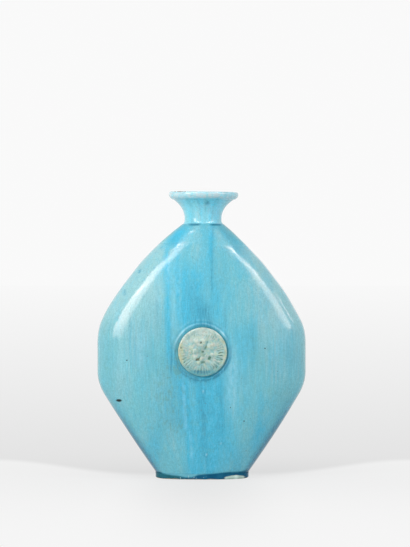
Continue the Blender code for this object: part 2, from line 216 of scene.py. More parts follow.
# The same for the back
BACK_AZURE = (
    (-33, -30, 4.6, 30, 190, 0.6), (-17, -15, 3, 120, 214, 0.75), (-6.5, -8, 4, 128, 214, 0.55),
    (7, 9, 2.6, 134, 216, 0.75), (22.5, 20, 4.2, 60, 208, 0.6), (-19.5, -17, 2.8, 6, 84, 0.85),
    (-4, -1, 6, 8, 88, 0.6), (12, 15, 2.4, 6, 90, 0.95), (40, 37, 5, 20, 150, 0.4),
    (-60, -57, 4, 60, 132, 0.4))
BACK_TEAL = (
    (1, 2, 7, 132, 172, 0.45), (-11.5, -11, 0.9, 150, 216, 0.6), (-30, -33, 7, 194, 212, 0.5),
    (6, 6.5, 0.8, 4, 40, 0.6), (28, 28.5, 0.8, 84, 130, 0.5))
BACK_GREY = (
    (45, 46, 15, 100, 170, 0.5), (-48, -46, 14, 90, 166, 0.4), (33, 30, 12, 20, 90, 0.5),
    (-25, -25, 1.8, 54, 110, 0.7))
BACK_THICK = (
    (22, 20, 16, 6, 96, 0.35), (-15, -13, 15, 6, 88, 0.2), (-44, -36, 10, 6, 80, 0.2),
    (76, 62, 8, 40, 130, 0.3))
BACK_PALE = (
    (-31, -30, 1.2, 150, 186, 0.4), (-12, -13, 1.6, 60, 110, 0.3), (18, 18.5, 1.1, 20, 76, 0.3),
    (26, 24, 2, 130, 180, 0.2))


def glaze_marks(x, z, marks, seed):
    """Strength of a set of marks: each a bell across, faded at both ends, wavering as it falls."""
    sway = 0.7 * wander(z / 11, 0 * z, seed)
    total = np.zeros_like(x)
    for top, bottom, width, low, high, strength in marks:
        share = (z - low) / (high - low)
        centre = bottom + (top - bottom) * share + sway * (0.5 + 0.5 * math.sin(top))
        fade = min(12, 0.35 * (high - low))
        along = ramp(z, low - fade, low + fade) * fall(z, high - fade, high + fade)
        total = total + strength * bell(x - centre, 1.45 * width) * along
    return total


def shell_columns(count):
    """Places across a half section, -1 to 1: even over the medallion, closing up to the seams."""
    middle = 0.32
    dense = int(0.57 * count)
    power = 2 / body_fullness
    inner = np.linspace(0, middle, dense + 1)
    start = math.asin(middle ** (1 / power))
    outer = np.sin(np.linspace(start, math.pi / 2, count - dense + 1)[1:]) ** power
    half = np.concatenate([inner, outer])
    return np.concatenate([-half[:0:-1], half])


def shell_rows(count):
    """Heights of the rings: closer together at the foot, over the medallion and near the neck."""
    parts = ((foot_joint, foot_joint + 4, 0.04, 1), (foot_joint + 4, crest_z - 30, 0.16, 1),
             (crest_z - 30, crest_z + 30, 0.56, 1), (crest_z + 30, neck_seat, 0.24, 1.5))
    rows = [np.array([foot_joint])]
    for low, high, share, ease in parts:
        t = np.linspace(0, 1, round(count * share) + 1)[1:]
        rows.append(high - (high - low) * (1 - t) ** ease)
    return np.concatenate(rows)


def half_oval(width, depth, exponent, across):
    """Half a superellipse facing -Y: x is width times s, y is depth times (1 - |s|^n)^(1/n)."""
    return width * across, -depth * np.maximum(1 - np.abs(across) ** exponent, 0) ** (1 / exponent)


def shell_skin(rows, columns, inset):
    """Points of a half body's skin, one wall in from the outside where inset is 1."""
    step = 0.2
    stretch_x = np.hypot(1, (half_width(rows + step) - half_width(rows - step)) / (2 * step))
    stretch_y = np.hypot(1, (half_depth(rows + step) - half_depth(rows - step)) / (2 * step))
    width = half_width(rows) - inset * wall * stretch_x
    depth = half_depth(rows) - inset * wall * np.minimum(stretch_y, 1.5)
    x, y = half_oval(width[:, None], depth[:, None], fullness(rows)[:, None], columns)
    return x, y, rows[:, None] + 0 * columns


def medallion_surround(distance, ring, turn):
    """Outward lift of the skin round the medallion: a soft bezel, a groove, and the hidden seat.

    Distance counts from the roundel's middle and ring from the bezel's crest. Glaze fills the
    groove halfway at the lower left.
    """
    bezel = 0.5 * bell(ring) + 0.08 * bell(ring - 3.3, 1.2)
    depth = 0.5 - 0.25 * bell(turn + 2.45, 0.5)
    seat = fall(distance, roundel_radius - 0.3, roundel_radius + 0.6)
    return bezel - depth * fall(ring, -2.3, -0.9) - seat


# Blemishes of each face: place across and height in millimetres, radius, and lift of the skin
FRONT_SPOTS = (
    (1.4, 76.2, 1.5, 0.45), (16.2, 31.8, 1.3, 0.42), (3.8, 21.8, 1.3, 0.45), (-64.2, 102.9, 1, -0.35),
    (54.5, 113.3, 0.8, -0.3), (36.5, 50.7, 0.9, -0.3), (24.8, 62.6, 0.8, -0.25),
    (-73.2, 137.6, 0.9, -0.2))
BACK_SPOTS = (
    (22, 150, 1.4, 0.3), (-35, 62, 1, -0.35), (48, 90, 0.9, -0.3))
# Upper edge of the dark glaze at the foot: place across and height in millimetres
FOOT_POOL = (
    (-40, 6.4), (-38.5, 5.9), (-32, 4.6), (-26, 3.9), (-20, 3), (-14, 1.9), (-8, 1.8), (-3, 3.9),
    (4, 4.7), (10, 5.3), (17, 5.9), (23, 6.3), (29, 6.6), (35, 6.9), (40, 7.3))


def foot_pool(x, z, seed):
    """Dark glaze gathered at the foot: full below the listed line, faded over 2 mm."""
    places, heights = np.transpose(FOOT_POOL)
    line = np.interp(x, places, heights) + 0.4 * wander(x / 3, 0 * x, seed)
    return 0.97 * fall(z, line - 1, line + 1)


def glazed_shell(name, side, marks, spots, seed):
    """One half of the body as a closed shell: fine skin outside, plain skin inside, flat rims."""
    step = 4
    columns = shell_columns(140)
    rows = shell_rows(272)
    x, y, z = shell_skin(rows, columns, 0)
    distance = np.hypot(x - roundel_x, z - roundel_z)
    turn = np.arctan2(z - roundel_z, x - roundel_x)
    ring = distance + 0.45 * np.cos(turn - 0.3) - bezel_radius
    front = ramp(-y, 0.3 * face_y, 0.8 * face_y)

    # Runs and streaks. The low edges are darker: glaze pooled there, with painted shade where
    # they turn down. The slopes are paler.
    azure, teal, grey, thick, pale = (
        ramp(-y, 0, 0.35 * face_y) * glaze_marks(x, z, table, seed + k) for k, table in enumerate(marks))
    run = 0.34 * bell(x - 4, 34) + azure + 0.12 * wander(x / 5, z / 16, seed + 5)
    out = np.abs(x) / half_width(z)
    low_edge_pool_and_shade = ramp(out, 0.78, 1) ** 1.5 * fall(z, 34, 90) * (0.35 + 0.65 * ramp(-y, 2, 11))
    deeper = fall(z, 18, 46)
    teal = teal + (1 - 0.2 * side * np.sign(x) + 0.35 * deeper) * low_edge_pool_and_shade
    teal = teal + 0.1 * wander(x / 7, z / 9, seed + 6)
    thick = thick + (0.55 + 0.35 * deeper) * low_edge_pool_and_shade
    slope = ramp(out, 0.55, 0.8) * ramp(z, 118, 150) * fall(z, 192, 210) * (1 - 0.12 * np.sign(x))
    grey = grey + 0.35 * ramp(np.abs(x), 34, 66) * ramp(z, 80, 110) * (1 - slope) + 0.85 * slope
    grey = grey + 0.15 * wander(x / 6, z / 11, seed + 7)

    # Relief: the medallion's surround, slow waves in the wall, and the blemishes.
    broad = 0.2 * wander(x / 19, z / 23, seed) + 0.025 * wander(x / 4, z / 5, seed + 8)
    lift = front * (medallion_surround(distance, ring, turn) + broad * ramp(distance, 28, 42))
    lift = lift + 0.05 * np.clip(azure, 0, 1)
    for place, height, radius, rise in spots:
        spot = bell(np.hypot(x - place, z - height), radius) * front
        lift = lift + rise * spot
        if rise > 0.4:
            pale = pale + 0.5 * spot ** 3
            teal = teal + 0.8 * spot * (1 - spot)
    y = y - lift
    x = x - np.sign(x) * 0.2 * bell(y, 0.9) * (np.abs(columns) > 0.97)

    # Dark glaze gathered in the groove, at the foot, at the neck joint and on the low edges. In and
    # round the groove it is darker below and to the right: painted shade on the pooled glaze.
    groove_pool_and_shade = 0.1 - 0.1 * np.sin(turn) + 0.3 * bell(turn + 0.05, 0.55) + 0.1 * wander(x / 6, z / 6, seed + 10)
    teal_halo_and_shade = 0.5 - 0.22 * np.sin(turn) + 0.3 * ramp(np.cos(turn), 0, 1)
    teal_halo_and_shade = teal_halo_and_shade + 0.12 * wander(x / 8, z / 8, seed + 11)
    shore = (0.13 - 0.12 * np.cos(turn)) * bell(ring - 2.6, 1.8)
    teal = teal + front * (teal_halo_and_shade * bell(ring - 0.2, 1.7) + shore)
    joint = np.abs(x - 2)
    joint = (0.04 + 0.58 * ramp(joint, 2.5, 7)) * fall(joint, 12, 16)
    pool = np.maximum.reduce([foot_pool(x, z, seed + 1), 0.55 * low_edge_pool_and_shade ** 2,
                              groove_pool_and_shade * bell(ring + 1, 1.1) * front,
                              joint * ramp(z, neck_seat - 2.4, neck_seat - 0.8)])

    # Thin pale glaze on the bezel, at the seam and on the sides, and the dull slopes at the neck. The
    # bezel's pale ring shows towards the top, and two arcs on it at the upper left and upper right are
    # painted highlights.
    patchy = np.clip(0.35 + 0.8 * wander(x / 5, z / 5, seed + 9), 0, 1) * ramp(np.sin(turn), -0.2, 0.8)
    painted_bezel_highlights = 0.42 * bell(turn - 2.5, 0.34) + 0.44 * bell(turn - 0.72, 0.27)
    thin = patchy * (0.3 * bell(ring - 0.6, 0.7) + 0.1 * bell(ring - 3.6, 0.9))
    thin = front * (thin + painted_bezel_highlights * bell(ring + 0.1, 0.7)) + pale
    out = np.abs(x) / half_width(z)
    worn_side = 0.32 * ramp(out, 0.975, 0.993) * ramp(z, 42, 66) * fall(z, 128, 165)
    worn_neck = 0.45 * ramp(out, 0.86, 1) * ramp(z, 198, 212)
    thin = np.maximum.reduce([thin, 0.4 * bell(y, 2.2), worn_neck, worn_side])
    across = x + 10.1
    drop = np.hypot(across / 3.6, (z - 213.2 - 0.3 * across) / 1.2)
    dull = ramp(z - 200.5 + 2.8 * ramp(x, 8, 14), 0, 6) * (1 - 0.55 * fall(drop, 0.7, 1.2) * (side < 0))

    # The flat rims and the plain inner skin close the wall.
    edge = np.array([(foot_x - wall, foot_y - wall, body_fullness, foot_joint),
                     (opening_radius, opening_radius, neck_fullness, neck_seat)])[..., None]
    edge_x, edge_y = half_oval(edge[:, 0], edge[:, 1], edge[:, 2], columns)
    edge_z = edge[:, 3] + 0 * columns
    x, y, z = (np.concatenate([rims[:1], skin, rims[1:]])
               for rims, skin in ((edge_x, x), (edge_y, y), (edge_z, z)))
    inner_z = np.concatenate([[foot_joint + wall], rows[step:-step:step], [neck_seat - wall]])
    inner_z = np.sort(np.clip(inner_z, foot_joint + wall, neck_seat - wall))
    inner_z = inner_z[np.concatenate([[True], np.diff(inner_z) > 0.05])]
    inside = shell_skin(inner_z, columns[::step], 1)
    points = np.concatenate([np.stack(skin, -1).reshape(-1, 3) for skin in ((x, y, z), inside)])
    points[:, 0] -= side * lean(points[:, 2])
    outer = np.arange(x.size).reshape(x.shape)
    inner = x.size + np.arange(inside[0].size).reshape(inside[0].shape)
    left = np.concatenate([outer[:, 0], inner[::-1, 0]])[None, :]
    right = np.concatenate([outer[::-1, -1], inner[:, -1]])[None, :]
    groups = [grid_faces(outer), grid_faces(inner, flip=True),
              rim_faces(outer[0], inner[0], step, flip=True), rim_faces(outer[-1], inner[-1], step),
              left, right]
    fields = dict(run=run, teal=teal, grey=grey, pool=pool, thin=thin, thick=thick, dull=dull)
    for key, field in fields.items():
        field = np.clip(np.concatenate([field[:1], field, field[-1:]]), 0, 1)
        fields[key] = np.concatenate([field.ravel(), np.zeros(inner.size)])
    return build_mesh(name, points * (-side, -side, 1), groups, fields)


class Nodes:
    """Short ways to add and join shader nodes in one tree."""

    def __init__(self, tree):
        self.tree = tree

    def add(self, kind, values=(), **settings):
        """A node with these settings, its inputs fed with these values."""
        node = self.tree.nodes.new("ShaderNode" + kind)
        for key, value in settings.items():
            setattr(node, key, value)
        for key, value in dict(values).items():
            self.feed(node.inputs[key], value)
        return node

    def feed(self, socket, value):
        """Link an output to the socket, or set a number, a vector or an opaque colour on it."""
        if isinstance(value, bpy.types.NodeSocket):
            self.tree.links.new(value, socket)
        else:
            socket.default_value = (*value, 1) if socket.type == "RGBA" else value

    def math(self, operation, a, b=0, clamp=False):
        return self.add("Math", {0: a, 1: b}, operation=operation, use_clamp=clamp).outputs[0]

    def plus(self, a, b, clamp=False):
        return self.math("ADD", a, b, clamp)

    def minus(self, a, b):
        return self.math("SUBTRACT", a, b)

    def times(self, a, b, clamp=False):
        return self.math("MULTIPLY", a, b, clamp)

    def length(self, vector):
        return self.add("VectorMath", {0: vector}, operation="LENGTH").outputs["Value"]

    def mix(self, factor, a, b, blend="MIX"):
        node = self.add("Mix", data_type="RGBA", blend_type=blend)
        for key, value in (("Factor", factor), ("A", a), ("B", b)):
            self.feed(node.inputs[key], value)
        return node.outputs["Result"]

    def coats(self, colour, *coats):
        """Lay tones over a colour one after the other, each as strongly as its factor says."""
        for factor, tone in coats:
            colour = self.mix(factor, colour, tone)
        return colour

    def band(self, value, low, high, out_low=0, out_high=1):
        """A smooth S from one output below low to the other above high."""
        return self.add("MapRange", {"Value": value, "From Min": low, "From Max": high, "To Min": out_low,
                                     "To Max": out_high}, interpolation_type="SMOOTHSTEP").outputs["Result"]

    def place(self, scale=(1, 1, 1), offset=(0, 0, 0)):
        """Object coordinates, scaled and then moved."""
        where = self.add("TexCoord").outputs["Object"]
        return self.add("Mapping", {"Vector": where, "Scale": scale, "Location": offset}).outputs[0]

    def away(self, centre, scale):
        """Distance from a point, with each axis scaled."""
        return self.length(self.place(scale, [-c * s for c, s in zip(centre, scale)]))

    def noise(self, vector, scale, detail=2, roughness=0.5):
        return self.add("TexNoise", {"Vector": vector, "Scale": scale, "Detail": detail,
                                     "Roughness": roughness}).outputs["Fac"]

    def field(self, name):
        """A surface value stored on the mesh."""
        return self.add("Attribute", attribute_name=name).outputs["Fac"]

    def finish(self, shader, colour, roughness, height, strength, distance):
        """Join colour, roughness and a bump of this height to the shader."""
        bump = self.add("Bump", {"Height": height, "Strength": strength, "Distance": distance})
        self.feed(shader.inputs["Base Color"], colour)
        self.feed(shader.inputs["Roughness"], roughness)
        self.feed(shader.inputs["Normal"], bump.outputs["Normal"])


def glaze_flow_group():
    """Colour, roughness and height of the glaze from its runs, pools and thin places.

    Noise stretched down the wall breaks each mark into fine streaks. A mottle, a craze net of cell
    edges and sparse specks of clay lie over the colour. The pool, thick and thin fields also carry
    painted shade and painted highlights.
    """
    group = bpy.data.node_groups.new("glaze_flow", "ShaderNodeTree")
    inputs = dict.fromkeys(("Run", "Teal", "Grey", "Pool", "Thin", "Thick"), 0)
    inputs |= {"Craze Size": 3, "Base": (0.14, 0.45, 0.53), "Azure": (0.07, 0.4, 0.59),
               "Teal Tone": (0.018, 0.25, 0.385), "Grey Tone": (0.245, 0.48, 0.52),
               "Deep": (0.005, 0.11, 0.2), "Worn": (0.48, 0.78, 0.86)}
    for label, value in inputs.items():
        kind = "Color" if isinstance(value, tuple) else "Float"
        socket = group.interface.new_socket(label, in_out="INPUT", socket_type="NodeSocket" + kind)
        socket.default_value = (*value, 1) if kind == "Color" else value
    for label, kind in (("Color", "Color"), ("Roughness", "Float"), ("Height", "Float")):
        group.interface.new_socket(label, in_out="OUTPUT", socket_type="NodeSocket" + kind)
    n = Nodes(group)
    enter = group.nodes.new("NodeGroupInput").outputs
    leave = group.nodes.new("NodeGroupOutput").inputs
    spot = n.place()
    hair = n.minus(n.noise(n.place(scale=(1, 1, 0.05)), 1500), 0.5)
    fine = n.minus(n.noise(n.place(scale=(1, 1, 0.05)), 560, 3, 0.6), 0.5)
    wide = n.minus(n.noise(n.place(scale=(1, 1, 0.12)), 150), 0.5)
    mottle = n.noise(spot, 130, 4, 0.65)
    grain = n.noise(spot, 1000, 2, 0.6)
    blots = n.noise(n.place(scale=(1, 1, 0.5), offset=(0.2, 0.4, 0.1)), 330, 3, 0.65)

    def streaked(value, amount, share):
        shift = n.plus(n.times(fine, amount), n.times(wide, amount * share))
        return n.plus(value, shift, clamp=True)

    run = streaked(enter["Run"], -0.75, 0.8)
    lit = n.times(n.band(blots, 0.5, 0.66, 0, 0.36), run)
    teal = n.times(enter["Teal"], n.band(fine, -0.16, 0.16, 0.45, 1.35), clamp=True)
    colour = n.coats(enter["Base"], (streaked(enter["Grey"], 0.75, 0.9), enter["Grey Tone"]),
                     (run, enter["Azure"]), (lit, (0.115, 0.53, 0.72)), (teal, enter["Teal Tone"]))
    # The Thick field darkens: thicker glaze, and painted shade on the low edges and broad patches
    colour = n.mix(enter["Thick"], colour, (0.5, 0.78, 0.86), "MULTIPLY")
    olive = n.times(n.band(blots, 0.5, 0.36, 0, 0.8), enter["Thick"])
    green = n.band(mottle, 0.5, 0.72, 0, 0.18)
    colour = n.coats(colour, (olive, (0.1, 0.26, 0.2)), (green, (0.16, 0.44, 0.4)))
    shade = n.plus(n.band(grain, 0.25, 0.75, 0.9, 1.1), n.times(hair, 0.45))
    colour = n.mix(1, colour, shade, "MULTIPLY")
    warp = n.add("TexNoise", {"Vector": spot, "Scale": 260, "Detail": 1}).outputs["Color"]
    bend = n.add("VectorMath", {0: warp, "Scale": 0.0018}, operation="SCALE").outputs[0]
    bent = n.add("VectorMath", {0: spot, 1: bend}, operation="ADD").outputs[0]
    per_metre = n.math("DIVIDE", 1000, enter["Craze Size"])
    cells = n.add("TexVoronoi", {"Vector": bent, "Scale": per_metre}, feature="DISTANCE_TO_EDGE")
    craze = n.band(cells.outputs["Distance"], 0, 0.05, 1, 0)
    # The Thin field lays the pale worn tone: thin glaze, and painted highlights, sheen and reflections
    thin = n.times(enter["Thin"], n.band(blots, 0.34, 0.64, 0.45, 1.25), clamp=True)
    pool = n.plus(enter["Pool"], n.times(wide, 0.5), clamp=True)
    pool = n.times(pool, n.band(enter["Pool"], 0.02, 0.2), clamp=True)
    clay = n.add("TexVoronoi", {"Vector": spot, "Scale": 260}).outputs
    chosen = n.band(n.add("SeparateColor", {0: clay["Color"]}).outputs[0], 0.93, 0.95)
    speck = n.times(n.band(clay["Distance"], 0.05, 0.13, 1, 0), chosen)
    colour = n.coats(colour, (n.times(craze, 0.2), (0.05, 0.22, 0.26)), (thin, enter["Worn"]),
                     (pool, enter["Deep"]), (n.times(speck, 0.75), (0.09, 0.075, 0.045)))
    n.feed(leave["Color"], colour)
    n.feed(leave["Roughness"], n.band(mottle, 0.3, 0.7, 0.06, 0.13))
    ripple = n.plus(n.times(wide, 0.6), n.times(mottle, 0.4))
    n.feed(leave["Height"], n.minus(ripple, n.times(craze, 0.06)))
    return group


glaze_flow = glaze_flow_group()


def new_material(name):
    """A material with its shader and a helper for adding nodes."""
    mat = bpy.data.materials.new(name)
    mat.use_nodes = True
    return mat, mat.node_tree.nodes["Principled BSDF"], Nodes(mat.node_tree)


# Pits where the glaze crawled off a speck: place across and height in millimetres, radius, and how
# tall they are for their width
GLAZE_PITS = (
    (-71.3, 68, 3.4, 0.46), (-64.2, 102.9, 0.8, 1), (54.5, 113.3, 0.7, 1), (36.5, 50.7, 0.8, 1),
    (24.8, 62.6, 0.6, 1))


def runny_glaze(name, base, azure, worn, pits=(), seam=None):
    """Glossy turquoise glaze with its marks read from the mesh, dark pits and worn brown chips.

    The seam's colour, where there is one, takes the worn tone's place on the narrow sides.
    """
    mat, shader, n = new_material(name)
    flow = n.add("Group", {"Base": base, "Azure": azure, "Worn": worn}, node_tree=glaze_flow)
    for label in ("Run", "Teal", "Grey", "Pool", "Thin", "Thick"):
        n.feed(flow.inputs[label], n.field(label.lower()))
    colour = flow.outputs["Color"]
    edge = n.noise(n.place(), 900)
    depth = n.add("SeparateXYZ", {0: n.place()}).outputs["Y"]
    front = n.band(depth, -0.002, 0, 1, 0)
    if seam:
        n.feed(flow.inputs["Worn"], n.mix(n.band(n.math("ABSOLUTE", depth), 0.009, 0.013), seam, worn))
    pitted = 0
    for across, height, radius, squash in pits:
        away = n.away((across * MM, -0.02, height * MM), (1, 0.02, 1 / squash))
        away = n.plus(away, n.times(n.minus(edge, 0.5), 0.0008))
        dark = n.times(front, n.band(away, 0.5 * radius * MM, radius * MM, 0.96, 0))
        colour = n.mix(dark, colour, (0.012, 0.014, 0.01))
        pitted = n.math("MAXIMUM", pitted, dark)
    chip = n.band(n.plus(edge, n.times(n.field("chip"), 0.4)), 0.78, 0.86)
    colour = n.mix(chip, colour, (0.1, 0.085, 0.06))
    dull = n.field("dull")
    shine = n.times(n.band(n.field("pool"), 0, 0.8, 0.5, 0.12), n.band(pitted, 0, 0.9, 1, 0.3))
    n.feed(shader.inputs["Specular IOR Level"], n.times(shine, n.band(dull, 0, 1, 1, 0.45)))
    shader.inputs["IOR"].default_value = 1.5
    roughness = n.plus(flow.outputs["Roughness"], n.times(dull, 0.3))
    n.finish(shader, colour, roughness, flow.outputs["Height"], 0.25, 0.0006)
    return mat


turquoise_glaze = runny_glaze("turquoise_glaze", (0.138, 0.447, 0.527), (0.052, 0.418, 0.6),
                              (0.48, 0.78, 0.86), GLAZE_PITS, (0.31, 0.42, 0.37))


def finish_piece(obj, material, slot, *nodes):
    """Give a piece its material, let it ride on the vase, and let it stand for its CAD nodes."""
    obj.data.materials.append(material)
    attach(obj, "root")
    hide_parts(*nodes)


front_marks = (FRONT_AZURE, FRONT_TEAL, FRONT_GREY, FRONT_THICK, FRONT_PALE)
front_body = glazed_shell("glazed_front_shell", -1, front_marks, FRONT_SPOTS, 11)
finish_piece(front_body, turquoise_glaze, "turquoise_glaze", "front_shell")
back_marks = (BACK_AZURE, BACK_TEAL, BACK_GREY, BACK_THICK, BACK_PALE)
back_body = glazed_shell("glazed_back_shell", 1, back_marks, BACK_SPOTS, 23)
finish_piece(back_body, turquoise_glaze, "turquoise_glaze", "back_shell")

# The seam coils and the bottom slab
#
# Soft clay pressed along the inside of both side seams, and a clay slab let into the bottom. They
# stay bare inside the vase: dry, buff and slightly gritty.


def bare_clay_material():
    """Unglazed buff earthenware: two tones of noise, dark grit and a rough dry surface."""
    mat, shader, n = new_material("bare_clay")
    spot = n.place()
    tone = n.noise(spot, 70, 4, 0.6)
    grit = n.add("TexVoronoi", {"Vector": spot, "Scale": 700}).outputs["Distance"]
    colour = n.mix(n.band(tone, 0.3, 0.7), (0.66, 0.55, 0.4), (0.5, 0.38, 0.25))
    colour = n.mix(n.band(grit, 0.05, 0.16, 0.6, 0), colour, (0.16, 0.1, 0.06))
    n.finish(shader, colour, n.band(tone, 0.3, 0.7, 0.75, 0.92), n.noise(spot, 500, 4, 0.7), 0.5, 0.0004)
    return mat


bare_clay = bare_clay_material()
for node in ("left_seam_coil", "right_seam_coil", "base_slab"):
    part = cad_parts[node]
    part.data.materials.clear()
    part.data.materials.append(bare_clay)

# The foot ring
#
# A low oval ring of clay luted under the slab. The glaze that ran down collects against it in a
# thick dark blue-green roll with pale bubbles, and its ground flat underneath is bare.

ring_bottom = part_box("foot_ring")[0].z / MM
ring_width = 10
ring_round = 0.9                       # rounding of the outer edge at the bottom


def signed_power(value, power):
    """Power of the size of a value, with the value's sign."""
    return np.sign(value) * np.abs(value) ** power


def oval(width, depth, exponent, angles):
    """Points of a superellipse by angle from +Y: each axis is a signed power of sine or cosine."""
    power = 2 / exponent
    return width * signed_power(np.sin(angles), power), depth * signed_power(np.cos(angles), power)


def full_turn(count):
    """This many even angles round a circle."""
    return np.linspace(0, 2 * math.pi, count, endpoint=False)


def closed_wall(name, x, y, z, fields, flip=False, smooth_below=40):
    """A mesh of rings round the axis, each joined to the next, and the last one to the first."""
    points = np.stack([x, y, z], -1).reshape(-1, 3)
    faces = grid_faces(np.arange(x.size).reshape(x.shape), flip, around=True, over=True)
    return build_mesh(name, points, [faces], fields, smooth_below)


def glazed_foot():
    """The foot as one closed ring: an oval carried round a profile given as inset and height."""
    top = foot_joint
    low = ring_bottom + ring_round
    outside = [(0.35 * (1 - h), low + (top - low) * h) for h in np.linspace(1, 0, 12)]
    under = [(0.35 + ring_round * (1 - math.cos(turn)), low - ring_round * math.sin(turn))
             for turn in np.linspace(0, math.pi / 2, 7)[1:]]
    flat = [(ring_width * share, ring_bottom) for share in (0.3, 0.5, 0.7, 0.88)]
    inside = [(ring_width, ring_bottom + 1), (ring_width, top - 0.3), (0.8 * ring_width, top - 0.3),
              (0.5 * ring_width, top - 0.1), (0.8, top)]
    profile = np.array(outside + under + flat + inside)
    inset, height = profile[:, :1], profile[:, 1:]
    angles = full_turn(360)
    swell = 0.5 + 0.5 * wander(5 * np.sin(angles), 5 * np.cos(angles), 5)
    swollen = inset - np.clip(1 - inset / 1.6, 0, 1) * (0.45 + 0.3 * swell * bell(height - 1.3, 0.9))
    x, y = oval(foot_x - swollen, foot_y - swollen, body_fullness, angles)
    x = x + lean(height)
    z = height + 0 * x
    glazed = (height > ring_bottom + 0.25) * (inset < 2) * np.ones_like(x)
    fields = dict(glazed=glazed, pool=foot_pool(-np.sign(y) * x, z, 12))
    return closed_wall("glazed_foot_ring", x, y, z, fields)


def foot_material():
    """Glaze like the body's above a thick dark roll, with bubbles, a bare patch and bare clay."""
    mat, shader, n = new_material("foot_glaze")
    spot = n.place()
    edge = n.noise(n.place(scale=(1, 1, 0.3)), 160)
    parts = n.add("SeparateXYZ", {0: spot}).outputs
    ragged = n.plus(parts["Z"], n.times(n.minus(edge, 0.5), 0.0018))
    covered = n.times(n.field("glazed"), n.band(ragged, 0.0002, 0.0006))
    patch = n.away((0.0286, -0.019, 0.0011), (0.26, 0.06, 1))
    bare = n.band(n.plus(patch, n.times(n.minus(edge, 0.5), 0.001)), 0.002, 0.0026, 1, 0)
    covered = n.times(covered, n.minus(1, bare))
    light = n.mix(n.band(edge, 0.3, 0.7), (0.095, 0.37, 0.48), (0.12, 0.42, 0.5))
    dark = n.mix(n.band(parts["X"], -0.022, -0.004), (0.012, 0.1, 0.13), (0.002, 0.075, 0.16))
    dark = n.mix(n.band(edge, 0.35, 0.65, 0, 0.25), dark, (0.022, 0.19, 0.3))
    pool = n.field("pool")
    bubbles = n.add("TexVoronoi", {"Vector": spot, "Scale": 650}).outputs["Distance"]
    froth = n.away((-0.0125, -0.0235, 0.0018), (0.14, 0.06, 1))
    foam = n.times(n.band(bubbles, 0.1, 0.3, 1, 0), n.band(froth, 0.0009, 0.0018, 1, 0))
    few = n.times(n.band(bubbles, 0.1, 0.22, 0.5, 0), n.band(edge, 0.56, 0.64))
    glaze = n.coats(light, (pool, dark), (n.math("MAXIMUM", foam, few), (0.56, 0.76, 0.76)))
    chipped = n.mix(n.band(edge, 0.35, 0.65), (0.58, 0.74, 0.68), (0.42, 0.56, 0.5))
    clay = n.mix(n.noise(spot, 120, 4), (0.7, 0.62, 0.48), (0.42, 0.36, 0.26))
    colour = n.coats(clay, (bare, chipped), (covered, glaze))
    n.feed(shader.inputs["Specular IOR Level"], n.band(pool, 0, 0.8, 0.5, 0.05))
    n.finish(shader, colour, n.band(covered, 0, 1, 0.85, 0.1), n.noise(spot, 420, 3), 0.35, 0.0003)
    return mat


finish_piece(glazed_foot(), foot_material(), "foot_glaze", "foot_ring")

# The neck
#
# A short collar thrown on the wheel, luted upright in the body's opening. It opens into a flared
# lip with a thick rounded edge, where the glaze is thin and pale and worn through in places.

collar_low, collar_high = (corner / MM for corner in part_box("neck_collar"))
lip_top = collar_high.z
lip_radius = collar_high.x
lip_edge = lip_radius - 0.25           # where the lip reaches out furthest
lip_crest = 27
lip_foot = 26                          # where the underside of the lip runs into the flare
lip_roll = 2.75
lip_under = 5
waist_radius = 16.1
waist_z = neck_seat + 4.5
bore_radius = 11.3
spigot_radius = 14.7
drip_z = lip_top - 11.4                # a drop of glaze on the front of the flare


def collar_outline():
    """Radius and height down the outside from the lip, round the spigot and up the bore.

    The lip's edge follows powers of a cosine and a sine. The flare, the foot of the neck and the
    bore widen with a power of their height.
    """
    middle = lip_top - lip_roll
    turn = np.linspace(math.pi / 2, -math.pi / 2, 41)
    rising = turn > 0
    inner = np.where(rising, lip_crest, lip_foot)
    reach = np.maximum(np.cos(turn), 0) ** np.where(rising, 0.5, 1.4)
    drop = np.where(rising, lip_roll, lip_under)
    lip = inner + (lip_edge - inner) * reach, middle + drop * signed_power(np.sin(turn), 0.9)
    up = np.linspace(1, 0, 64)[1:]
    under = middle - lip_under
    flare = waist_radius + (lip_foot - waist_radius) * up ** 2.3, waist_z + (under - waist_z) * up
    down = np.linspace(0, 1, 22)[1:]
    base = waist_radius + 1.5 * down ** 2.6, waist_z - (waist_z - neck_seat) * down
    spigot = np.array([(spigot_radius, neck_seat - 0.05), (spigot_radius, collar_low.z + 0.3),
                       (spigot_radius - 0.4, collar_low.z), (bore_radius + 0.3, collar_low.z),
                       (bore_radius, collar_low.z + 0.3)]).T
    up = np.linspace(0, 1, 60)
    mouth = lip_crest - lip_roll
    inside = (bore_radius + (mouth - bore_radius) * up ** 2.2,
              waist_z + (middle + 0.4 * lip_roll - waist_z) * up)
    crest = (lip_crest - lip_roll * np.array([0.75, 0.4]), middle + lip_roll * np.array([0.82, 0.96]))
    outside = np.hstack([lip, flare, base])
    return np.hstack([outside, spigot, inside, crest]).T, outside.shape[1]


